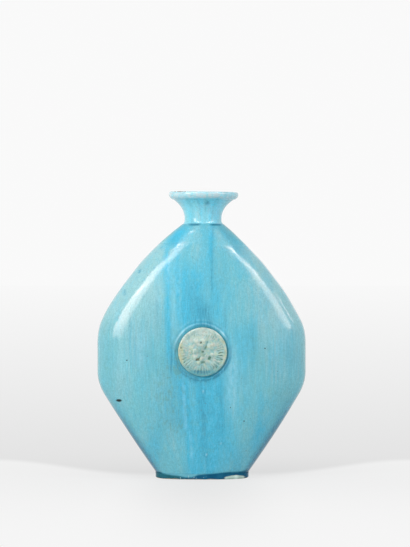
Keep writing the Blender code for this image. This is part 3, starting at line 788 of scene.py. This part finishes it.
# Streaks round the neck: angle from the front in degrees, half width in degrees, and strength, for
# the blue runs, the dark ones and the pale ones. The pale ones are painted reflections.
NECK_AZURE = (
    (-44, 6, 0.35), (-22, 3, 0.2), (-5, 5, 0.6), (20, 6, 0.75), (42, 9, 1), (66, 8, 0.1), (-95, 12, 0.4),
    (110, 14, 0.5), (150, 9, 0.6), (-120, 12, 0.4), (-158, 7, 0.6))
NECK_TEAL = (
    (-11, 2.2, 0.3), (4, 1.6, 0.18), (26, 2, 0.2), (-33, 3, 0.2), (-48, 9, 0.1), (90, 5, 0.4),
    (132, 3, 0.4), (-100, 5, 0.4), (-140, 3, 0.4), (172, 4, 0.5))
NECK_PAINTED_REFLECTIONS = (
    (-25, 5, 0.22), (-14, 3, 0.12), (0, 4, 0.1), (14, 4, 0.14), (37, 8, 0.08), (70, 10, 0.24),
    (120, 9, 0.3), (-90, 10, 0.25), (-150, 6, 0.3), (165, 4, 0.3))


def turned_from(angles, place):
    """Signed turn from a place in degrees, at most half a circle either way."""
    return np.angle(np.exp(1j * (angles - math.radians(place))))


def neck_streaks(angles, height, streaks, seed):
    """Bells round the neck at the listed angles, wavering with height."""
    sway = math.radians(2.5) * wander(height / 5, 0 * height, seed)
    total = np.zeros_like(height)
    for place, width, strength in streaks:
        away = turned_from(angles - sway, place)
        total = total + strength * bell(away, 1.4 * math.radians(width))
    return total


def glazed_neck():
    """The collar as one closed turned wall, leaning a little to the right as thrown ware does."""
    outline, outside_rows = collar_outline()
    angles = full_turn(300)
    radius = outline[:, :1] + 0 * angles
    height = outline[:, 1:] + 0 * angles
    above = np.clip((height - neck_seat) / (lip_top - neck_seat), 0, 1)
    outside = (np.arange(len(outline)) < outside_rows)[:, None] * np.ones_like(height)
    from_front = math.pi - angles + 0 * height
    azure = neck_streaks(from_front, height, NECK_AZURE, 41)
    radius = radius * (1 + 0.004 * above * wander(2 * np.cos(angles), 2 * np.sin(angles), 31))
    radius = radius + 0.16 * outside * wander(9 * from_front, height / 8, 33) * bell(above - 0.5, 0.35)
    radius = radius + 0.1 * outside * np.clip(azure, 0, 1) * bell(above - 0.5, 0.45)
    x = radius * np.sin(angles) + lean(np.maximum(height, neck_seat))
    y = radius * np.cos(angles)
    tilt = 0.8 * (1 - y / lip_radius) + 0.35 * (1 + x / lip_radius)
    tilt = tilt + 0.12 * wander(3 * np.cos(angles), 3 * np.sin(angles), 37)
    z = height - above ** 3 * np.maximum(tilt, 0)

    lip_low = lip_top - lip_roll - 0.75 * lip_under
    on_lip = ramp(height, lip_low - 1.6, lip_low + 0.8)
    # painted shade: the lip's top is greyer and less pale
    crown_shade = ramp(height, lip_top - 2.4, lip_top - 0.6)
    right = ramp(from_front, math.radians(32), math.radians(42)) * fall(from_front, 2, 2.6)
    # painted sheen: the neck is paler down its left side, towards the left lamps
    left = ramp(-np.sin(from_front), 0.78, 0.98) * bell(above - 0.5, 0.3)
    worn = 0.84 + 0.08 * wander(8 * from_front, height / 3, 46) - 0.2 * right
    worn = worn * (1 - 0.4 * crown_shade) * on_lip
    # painted reflections: pale streaks low on the neck
    pale = neck_streaks(from_front, height, NECK_PAINTED_REFLECTIONS, 45) * bell(above - 0.22, 0.3)
    thin = np.maximum(worn, (0.13 + 0.03 * np.sin(from_front) + 0.3 * left + pale) * outside)
    pool = 0.6 + 0.4 * wander(6 * from_front, 0 * height, 43)
    pool = 0.55 * bell(height - neck_seat, 0.7) * outside * pool
    pool = pool * (1 - 0.8 * bell(from_front - 0.1, 0.35)) * fall(np.abs(np.sin(from_front)), 0.75, 0.95)
    drip = 0.9 * bell(np.hypot(radius * (from_front - 0.16), height - drip_z), 1.8) * outside
    # darker teal under the lip: pooled glaze and painted shade
    under_lip_pool_and_shade = 0.14 * bell(height - lip_low + 2, 2.4)
    ankle = 0.2 * bell(from_front + 0.63, 0.14) * fall(above, 0.2, 0.42)
    teal = neck_streaks(from_front, height, NECK_TEAL, 42) * bell(above - 0.45, 0.35)
    teal = (teal + under_lip_pool_and_shade + drip + ankle) * outside
    grey = 0.1 * wander(7 * from_front, height / 9, 44) + 0.45 * right * on_lip + 0.8 * crown_shade
    run = 0.15 + azure * bell(above - 0.45, 0.45)
    chip = 0.15 + 0.85 * bell(from_front + 0.8, 0.35) + 0.3 * bell(from_front - 0.25, 0.3)
    chip = chip * ramp(height, lip_top - 1.3, lip_top - 0.5)
    fields = dict(run=run, teal=teal, grey=grey, pool=pool, thin=thin, thick=drip, chip=chip)
    fields = {key: np.clip(field, 0, 1) for key, field in fields.items()}
    return closed_wall("glazed_neck", x, y, z, fields, flip=True, smooth_below=60)


neck_glaze = runny_glaze("neck_glaze", (0.185, 0.62, 0.73), (0.14, 0.68, 0.9), (0.48, 0.615, 0.65))
finish_piece(glazed_neck(), neck_glaze, "turquoise_glaze", "neck_collar")

# The medallions
#
# Roundels pressed in a carved stamp and set in the recess on each broad face: a raised rim, a ring
# of short radial tongues, and a blossom of soft lumps with hollow strokes between them. A thin pale
# glaze lets the cream clay show, and lies green and brown in the hollows.

medallion_low, medallion_high = (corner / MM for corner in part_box("front_medallion"))
field_depth = 2.2 - medallion_high.y   # from the vase's middle plane to the field behind the reliefs
border_width = 2.1
tongue_count = 44
# Lumps of the blossom: place across and up from the middle, radius and height, in millimetres
LUMPS = (
    (-4.4, 9.6, 3.1, 0.85), (0.9, 8.8, 3.1, 0.9), (-2.8, 6.2, 3, 0.75), (8.8, 5.8, 2.9, 0.72),
    (6.1, 5, 2.7, 0.75), (8.2, 3, 2.6, 0.65), (-9.6, 4.2, 3.3, 0.85), (-7.4, 1.2, 2.8, 0.75),
    (-10.8, -0.8, 2.4, 0.65), (-3.2, -9, 2.7, 0.58), (-6.6, -4.8, 2.5, 0.75), (-0.8, -5.4, 2.3, 0.65),
    (7.8, -2.4, 2.5, 0.85), (4.8, -8.4, 2.7, 0.55), (3, -4.2, 2.2, 0.42), (5.4, 1, 1.7, 0.5))
# Hollows: place across and up from the middle in millimetres, half length, half width, turn in
# degrees, strength, and how brown they are
HOLLOWS = (
    (-1.4, 7.9, 1.45, 0.8, 60, 0.9, 0.8), (-8.8, 0.8, 0.75, 0.6, 100, 0.7, 0.9),
    (-4.4, -6.6, 1.7, 1.15, 12, 1, 0.8), (-2.4, -5, 1.2, 0.5, 70, 0.5, 0.6),
    (5.9, -5.2, 1.9, 0.9, 55, 1, 0), (4, 8.4, 1.8, 0.7, 60, 0.42, 0), (2.8, 3.9, 2.4, 0.9, 62, 0.45, 0),
    (0.2, 0.1, 0.95, 0.7, 0, 0.85, 0.2), (-18.4, 3.4, 0.85, 0.85, 0, 0.95, 0.5),
    (9.1, 12.8, 1.1, 0.35, 60, 0.7, 1), (5.4, 13.4, 1, 0.35, 75, 0.6, 0.3),
    (-16.4, -6.3, 1.4, 0.45, 14, 0.75, 0.15), (-15.5, -8.9, 1.2, 0.5, 30, 0.7, 0.1),
    (-12.6, -13.2, 1.3, 0.5, -20, 0.65, 0), (-9.2, -14.4, 1.1, 0.45, -30, 0.55, 0),
    (11.6, -13, 1.5, 0.4, -55, 0.9, 0.2), (9.5, -13.9, 1.2, 0.38, -66, 0.65, 0.2),
    (13.4, -11, 1.2, 0.35, -40, 0.45, 0.1), (15.3, -0.4, 2.2, 0.34, -3, 0.85, 0.15),
    (15.8, -3.2, 1.6, 0.45, -12, 0.8, 0.15), (16.1, -6.3, 1.6, 0.5, -20, 0.85, 0.15),
    (14.7, 2.5, 1.8, 0.3, 9, 0.5, 0.1), (14.4, 5.3, 1.5, 0.3, 18, 0.45, 0.1),
    (0.6, -8.8, 1.9, 0.8, 20, 0.34, 0), (3.4, -11, 2.2, 0.7, -50, 0.3, 0.1),
    (-2.6, -11.2, 2, 0.7, 60, 0.3, 0.1), (7.6, -7.6, 1.7, 0.6, -35, 0.34, 0),
    (1.8, -2.4, 1.6, 0.6, 40, 0.3, 0), (-14.2, -11.4, 1.5, 0.42, 38, 0.62, 0.1),
    (-11.2, -11.9, 1.2, 0.4, 50, 0.45, 0), (-13.4, -6.6, 1.3, 0.4, 24, 0.4, 0.1))
# Where the tongues show: middle and half width of the arc in degrees, and strength
TONGUE_ARCS = (
    (-5, 27, 0.95), (-46, 13, 0.6), (-92, 24, 0.45), (-146, 18, 0.55), (60, 18, 0.28), (180, 24, 0.22))


def medallion_relief(radius, angle, seed):
    """Height over the field and depth of colour, from polar places on the roundel.

    The rim is a ramp along the radius, and the tongues are a ramp times a cosine round it. Each
    lump of the blossom falls off from its place, and each hollow is a bell that presses it down.
    """
    x, z = radius * np.cos(angle), radius * np.sin(angle)
    field = roundel_radius - border_width + 1.3 * bell(np.sin(angle) + 1, 0.16)
    lump = wander(x / 1.7, z / 1.7, seed)
    bent = wander(x / 1.3, z / 1.3, seed + 2)
    fine = wander(x / 0.55, z / 0.55, seed + 1, 12)
    clear = 0.08 + 0 * x
    for middle, spread, strength in TONGUE_ARCS:
        away = turned_from(angle, middle) + 0.08 * lump
        clear = clear + strength * bell(away, math.radians(spread))
    rim = (0.5 + 0.22 * lump) * ramp(radius, field - 2.6, field + 1.2)
    rim = rim * (1 - 0.95 * ramp(radius, roundel_radius - 1.5, roundel_radius) ** 1.6)
    comb = 0.5 + 0.5 * np.cos(tongue_count * angle + 0.9 * lump)
    start = 12.3 + 1.3 * lump
    reach = ramp(radius, start - 1.2, start + 1.2) * fall(radius, field - 1.2, field + 0.6) * clear
    petals = np.zeros_like(x)
    for place, up, size, lift in LUMPS:
        away = np.hypot(x - place + 0.45 * bent, z - up + 0.45 * lump) / size + 0.2 * fine
        petals = np.maximum(petals, lift * fall(away, 0.15, 1.2))
    stain = np.zeros_like(x)
    brown = np.zeros_like(x)
    for place, up, length, width, turn, strength, tone in HOLLOWS:
        c, s = math.cos(math.radians(turn)), math.sin(math.radians(turn))
        dx, dz = x - place, z - up
        away = np.hypot((dx * c + dz * s) / length, (dz * c - dx * s) / width)
        pit = strength * bell(away + 0.22 * lump)
        stain = stain + pit
        brown = brown + tone * pit
    heart = 0.4 * fall(radius, 1.2, 2.6)
    calyx = 0.25 * fall(radius, 5.5, 10.5) + 0.2 * np.maximum(lump, 0)
    relief = np.maximum.reduce([rim, 0.5 * comb ** 0.8 * reach, petals, heart, calyx])
    relief = relief * (1 - 0.75 * np.clip(stain, 0, 1)) + 0.1 * lump + 0.13 * fine

    low = ramp(-z / roundel_radius, 0.25, 0.85)
    # painted light: paler towards the upper left, where the lamps are
    high = ramp((z - 0.25 * x) / roundel_radius, 0.1, 1)
    shade = bell(np.hypot((x + 0.8) / 7.2, (z + 17.3) / 1.6) * (1 + 0.3 * bent))
    groove = (1 - comb) ** 1.5 * reach * (0.62 + 0.3 * low) * (1 + 0.5 * lump)
    groove = groove + (0.35 + 0.35 * (1 - comb)) * shade
    low = low + 0.9 * bell(np.hypot((x + 1.4) / 8, (z + 18) / 1.8))
    tan = rim * (0.4 + 1.5 * ramp(np.abs(x) / roundel_radius, 0.7, 0.97))
    tan = tan + 0.9 * ramp(-x, 15.2, 17.6) * bell(z + 1, 9)
    stain = stain + fall(petals, 0.02, 0.35) * fall(radius, 8.5, 12) * (0.3 + 0.2 * lump)
    stain = stain + 0.2 * bell(np.hypot(x - 0.4, 1.4 * (z + 9.2)), 4.2)
    fields = dict(relief=relief, stain=stain, brown=brown, groove=groove, low=low + 0.25 * lump,
                  high=high + 0.3 * lump, tan=tan)
    return relief, {key: np.clip(field, 0, 2) for key, field in fields.items()}


def fan(tip, ring, flip=False):
    """Triangles from one point to a closed ring of points."""
    faces = np.stack([np.full(len(ring), tip), ring, np.roll(ring, -1)], -1)
    return faces[:, ::-1] if flip else faces


def medallion(name, side, seed):
    """A roundel as a closed disc: relief in front on a polar grid, side wall and flat back."""
    spokes = 528
    rings = 132
    angle = full_turn(spokes)[None, :]
    radius = np.linspace(0, roundel_radius, rings + 1)[1:, None] + 0 * angle
    relief, fields = medallion_relief(radius, angle + 0 * radius, seed)
    depth = np.minimum(field_depth + relief, -medallion_low.y - 0.03)
    front = np.stack([roundel_x + radius * np.cos(angle), -depth, roundel_z + radius * np.sin(angle)], -1)
    edge = front[-1:].copy()
    edge[..., 1] = medallion_high.y
    middles = [(roundel_x, -field_depth - relief[0].mean(), roundel_z),
               (roundel_x, medallion_high.y, roundel_z)]
    points = np.concatenate([front.reshape(-1, 3), edge.reshape(-1, 3), middles])
    index = np.arange((rings + 1) * spokes).reshape(-1, spokes)
    groups = [grid_faces(index, flip=True, around=True), fan(index.size, index[0], flip=True),
              fan(index.size + 1, index[-1])]
    fields = {key: np.concatenate([field.ravel(), field[-1], [field[0].mean(), 0]])
              for key, field in fields.items()}
    return build_mesh(name, points * (-side, -side, 1), groups, fields, 60)


def medallion_material():
    """Thin pale glaze over cream clay: tan on the heights, blue-green between, dark in hollows."""
    mat, shader, n = new_material("medallion_glaze")
    spot = n.place()
    height = n.field("relief")
    cloud = n.noise(spot, 190, 4, 0.65)
    patch = n.noise(n.place(offset=(0.3, 0.1, 0.2)), 260, 3, 0.6)
    blush = n.noise(n.place(offset=(0.7, 0.2, 0.5)), 330)
    moss = n.noise(n.place(offset=(0.1, 0.6, 0.9)), 280)
    speck = n.noise(spot, 1100, 2, 0.6)
    radial = n.math("DIVIDE", n.away((0, 0, roundel_z * MM), (1, 0, 1)), roundel_radius * MM)
    field = n.mix(n.band(cloud, 0.35, 0.65), (0.23, 0.43, 0.43), (0.33, 0.47, 0.43))
    raised = n.mix(n.band(cloud, 0.4, 0.66), (0.4, 0.48, 0.37), (0.39, 0.54, 0.51))
    warm = n.times(n.field("tan"), n.band(patch, 0.42, 0.58, 0.25, 1), clamp=True)
    shore = n.times(n.field("low"), n.band(radial, 0.6, 0.98, 0.15, 0.95), clamp=True)
    groove = n.times(n.field("groove"), n.band(patch, 0.35, 0.6, 0.5, 1.2), clamp=True)
    hollow = n.mix(n.field("brown"), (0.04, 0.15, 0.11), (0.13, 0.062, 0.025))
    colour = n.coats(
        field, (n.band(height, 0.15, 0.72), raised),
        (n.band(blush, 0.5, 0.64, 0, 0.48), (0.52, 0.48, 0.44)),
        (n.band(blush, 0.48, 0.34, 0, 0.5), (0.2, 0.46, 0.54)),
        (n.band(moss, 0.52, 0.66, 0, 0.5), (0.36, 0.5, 0.32)),
        (n.band(height, 0.5, 0.95, 0, 0.5), (0.58, 0.66, 0.6)), (warm, (0.48, 0.485, 0.28)),
        # painted light: the high field is paler towards the upper left
        (n.times(n.field("high"), 0.48, clamp=True), (0.6, 0.71, 0.66)), (shore, (0.1, 0.32, 0.35)),
        (n.band(patch, 0.54, 0.64, 0, 0.5), (0.17, 0.39, 0.38)),
        (groove, n.mix(shore, (0.045, 0.16, 0.1), (0.012, 0.17, 0.26))),
        (n.band(n.field("stain"), 0.15, 0.85, 0, 0.95), hollow),
        (n.band(speck, 0.56, 0.68, 0, 0.5), (0.2, 0.24, 0.16)))
    n.finish(shader, colour, n.band(cloud, 0.3, 0.7, 0.24, 0.42), n.noise(spot, 900, 3), 0.6, 0.0003)
    return mat


pale_glaze = medallion_material()
for name, side, seed, node in (("blossom_front_medallion", -1, 51, "front_medallion"),
                               ("blossom_back_medallion", 1, 52, "back_medallion")):
    finish_piece(medallion(name, side, seed), pale_glaze, "medallion_glaze", node)

# The floor, the light and the camera
#
# A pale table top that glows with painted shade and fades into a white surround, two soft boxes
# in front to the left and right, each with a strip above it, a soft light overhead and an even white
# room. Separate panels give the boxes' shine in the glaze.

glint_tint = (1, 0.76, 0.7)
lamp_aim = Vector((0, 0, 0.15))


def seen_rays(n):
    """1 for the camera's rays and for mirrored ones, and 0 for all others."""
    path = n.add("LightPath").outputs
    return n.math("MAXIMUM", path["Is Camera Ray"], path["Is Glossy Ray"])


def stage_floor():
    """A wide level disc under the foot, of glowing paper with painted shade, fading into the white room."""
    angles = full_turn(128)
    radii = np.array([150, 300, 600, 1200, 3000, 9000, 30000])[:, None]
    x, y = radii * np.cos(angles), radii * np.sin(angles)
    points = np.concatenate([np.stack([x, y, 0 * x], -1).reshape(-1, 3), [(0, 0, 0)]])
    index = np.arange(x.size).reshape(x.shape)
    floor = build_mesh("table_top", points, [grid_faces(index, flip=True, around=True),
                                             fan(index.size, index[0])])
    mat, shader, n = new_material("table_paper")
    mat.node_tree.nodes.remove(shader)
    where = n.place()
    parts = n.add("SeparateXYZ", {0: where}).outputs
    depth = parts["Y"]
    across = n.math("ABSOLUTE", parts["X"])
    line = n.plus(0.02, n.times(n.band(across, 0.05, 0.2), 0.15))
    beyond = n.band(n.minus(depth, line), -0.02, 0.03)
    # painted reflection: a darker strip on the paper in front of the vase
    shade = n.times(n.band(across, 0, 0.08, 0.065, 0), n.band(depth, -0.6, -0.12))
    near = n.minus(n.band(depth, -0.45, 0, 0.915, 0.88), shade)
    # painted shade: darker just behind the vase and paler further back, as where paper curves up
    far = n.minus(0.952, n.math("DIVIDE", 0.375, n.plus(depth, 1.908)))
    level = n.plus(n.times(near, n.minus(1, beyond)), n.times(far, beyond))
    tone = n.mix(level, (0, 0, 0), (1, 1, 1))
    lit = n.add("BsdfDiffuse", {"Color": n.mix(0.7, (0, 0, 0), tone)}).outputs[0]
    sheen = n.add("BsdfGlossy", {"Color": (0.9, 0.9, 0.9), "Roughness": 0.28}).outputs[0]
    lit = n.add("MixShader", {0: 0.1, 1: lit, 2: sheen}).outputs[0]
    # the paper glows with its painted tone to the camera and in reflections; only the lit share holds the
    # vase's real shadow
    glow = n.add("Emission", {"Color": tone, "Strength": 1}).outputs[0]
    share = n.times(n.band(n.length(where), 0.05, 0.3, 0.86, 1), seen_rays(n))
    blend = n.add("MixShader", {0: share, 1: lit, 2: glow}).outputs[0]
    n.feed(mat.node_tree.nodes["Material Output"].inputs["Surface"], blend)
    floor.data.materials.append(mat)


def soft_box(name, azimuth, elevation, distance, width, height, power, colour, roll=0):
    """A rectangular lamp that faces the middle of the vase.

    Its azimuth counts from the camera and its roll turns it about its own beam, both in degrees.
    """
    lamp = bpy.data.lights.new(name, "AREA")
    lamp.shape = "RECTANGLE"
    lamp.size = width
    lamp.size_y = height
    lamp.energy = power
    lamp.color = colour
    obj = put(name, lamp)
    az, el = math.radians(azimuth), math.radians(elevation)
    towards = Vector((math.sin(az) * math.cos(el), -math.cos(az) * math.cos(el), math.sin(el)))
    obj.location = lamp_aim + distance * towards
    turned = towards.to_track_quat("Z", "Y") @ Quaternion((0, 0, 1), math.radians(roll))
    obj.rotation_euler = turned.to_euler()
    return obj


def glint_panel(name, *where, dim_side=1, dim_low=1, **more):
    """The shine of a soft box in the glaze: dimmer towards the camera and towards its low edge."""
    obj = soft_box(name, *where, glint_tint, **more)
    obj.visible_diffuse = False
    obj.data.use_nodes = True
    n = Nodes(obj.data.node_tree)
    spread = n.add("SeparateXYZ", {0: n.add("NewGeometry").outputs["Parametric"]}).outputs
    across = spread["X"] if obj.location.x < 0 else n.minus(1, spread["X"])
    level = n.times(n.band(across, 0.45, 0.8, 1, dim_side), n.band(spread["Y"], 0, 0.5, dim_low, 1))
    soft = n.times(n.band(across, 0, 0.08), n.band(across, 0.9, 1, 1, 0))
    n.feed(obj.data.node_tree.nodes["Emission"].inputs["Strength"], n.times(level, soft))


def white_room():
    """The world: even white light, twice as bright to the camera and in mirrored rays."""
    world = bpy.data.worlds.new("white_room")
    world.use_nodes = True
    bpy.context.scene.world = world
    n = Nodes(world.node_tree)
    back = world.node_tree.nodes["Background"].inputs
    n.feed(back["Color"], (1, 1, 1))
    n.feed(back["Strength"], n.plus(0.48, n.times(seen_rays(n), 0.47)))


def photograph_camera():
    """A long lens level with the shoulder, set so that the vase has its place in the picture."""
    cam = bpy.data.cameras.new("camera")
    cam.sensor_width = 36
    cam.lens = 143.5
    cam.clip_end = 100
    obj = put("camera", cam)
    obj.location = (0.003, -1.902, 0.1775)
    obj.rotation_euler = (math.pi / 2, 0, 0)
    bpy.context.scene.camera = obj


stage_floor()
for lamp in (soft_box("left_soft_box", -53, 18, 1.25, 0.42, 0.62, 7.7, (1, 0.99, 0.97)),
             soft_box("left_top_strip", -44, 35.5, 1.25, 0.44, 0.19, 2.5, (1, 0.99, 0.97), 14),
             soft_box("right_soft_box", 63.5, 26, 1.35, 0.38, 0.7, 4.7, (0.93, 0.97, 1)),
             soft_box("right_top_strip", 58, 41.5, 1.35, 0.36, 0.17, 1.1, (0.93, 0.97, 1), -14)):
    lamp.visible_glossy = False
glint_panel("left_glint", -51.5, 17.2, 1.25, 0.49, 0.66, 9.1, dim_side=0.62, dim_low=0.55, roll=-1.5)
glint_panel("left_top_glint", -43.8, 36.2, 1.25, 0.64, 0.18, 3.4, dim_side=0.75, roll=14)
glint_panel("left_high_glint", -36, 47.5, 1.25, 0.44, 0.12, 6)
glint_panel("right_glint", 61.3, 26, 1.35, 0.48, 0.7, 6.2, dim_side=0.7)
glint_panel("right_top_glint", 59.5, 41.5, 1.35, 0.44, 0.17, 1.3, roll=-14)
glint_panel("right_high_glint", 45.5, 47.5, 1.35, 0.5, 0.12, 6)
glint_panel("right_side_glint", 84, 27, 1.35, 0.09, 0.26, 0.62)
soft_box("overhead_soft_box", 0, 80, 1.3, 1.2, 1.2, 8, (1, 1, 1))
white_room()
photograph_camera()
bpy.context.scene.view_settings.view_transform = "Standard"
